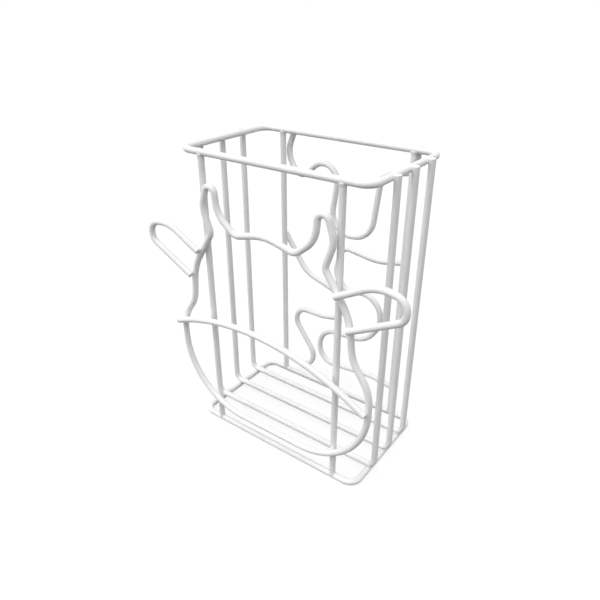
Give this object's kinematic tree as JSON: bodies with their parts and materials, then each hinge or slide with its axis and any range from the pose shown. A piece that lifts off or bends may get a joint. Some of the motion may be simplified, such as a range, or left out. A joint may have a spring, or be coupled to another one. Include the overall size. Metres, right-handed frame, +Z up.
{
  "type": "umbrella stand",
  "caption": "Rectangular open wire basket for umbrellas, with a horned cow's head of bent wire on the front and wavy wires across the back.",
  "frame": {"origin": "on the floor, under the middle of the two rims", "axes": "+Z up, +X to the right as seen from the front, -Y towards the front with the cow's head"},
  "size_m": [0.3272, 0.1612, 0.3455],
  "materials": {
    "white_powder_coat": "smooth satin white powder coat on steel wire"
  },
  "bodies": {
    "root": {"top_rim": "white_powder_coat", "base_rim": "white_powder_coat", "front_post_left": "white_powder_coat", "front_post_right": "white_powder_coat", "back_post_left": "white_powder_coat", "back_post_right": "white_powder_coat", "side_wire_front": "white_powder_coat", "side_wire_middle": "white_powder_coat", "side_wire_back": "white_powder_coat", "back_wave_top": "white_powder_coat", "back_wave_right": "white_powder_coat", "back_wave_left": "white_powder_coat", "head_outline": "white_powder_coat", "ear_left": "white_powder_coat", "ear_right": "white_powder_coat", "muzzle_line": "white_powder_coat", "top_weld_beads": "white_powder_coat", "base_weld_beads": "white_powder_coat"}
  },
  "joints": []
}
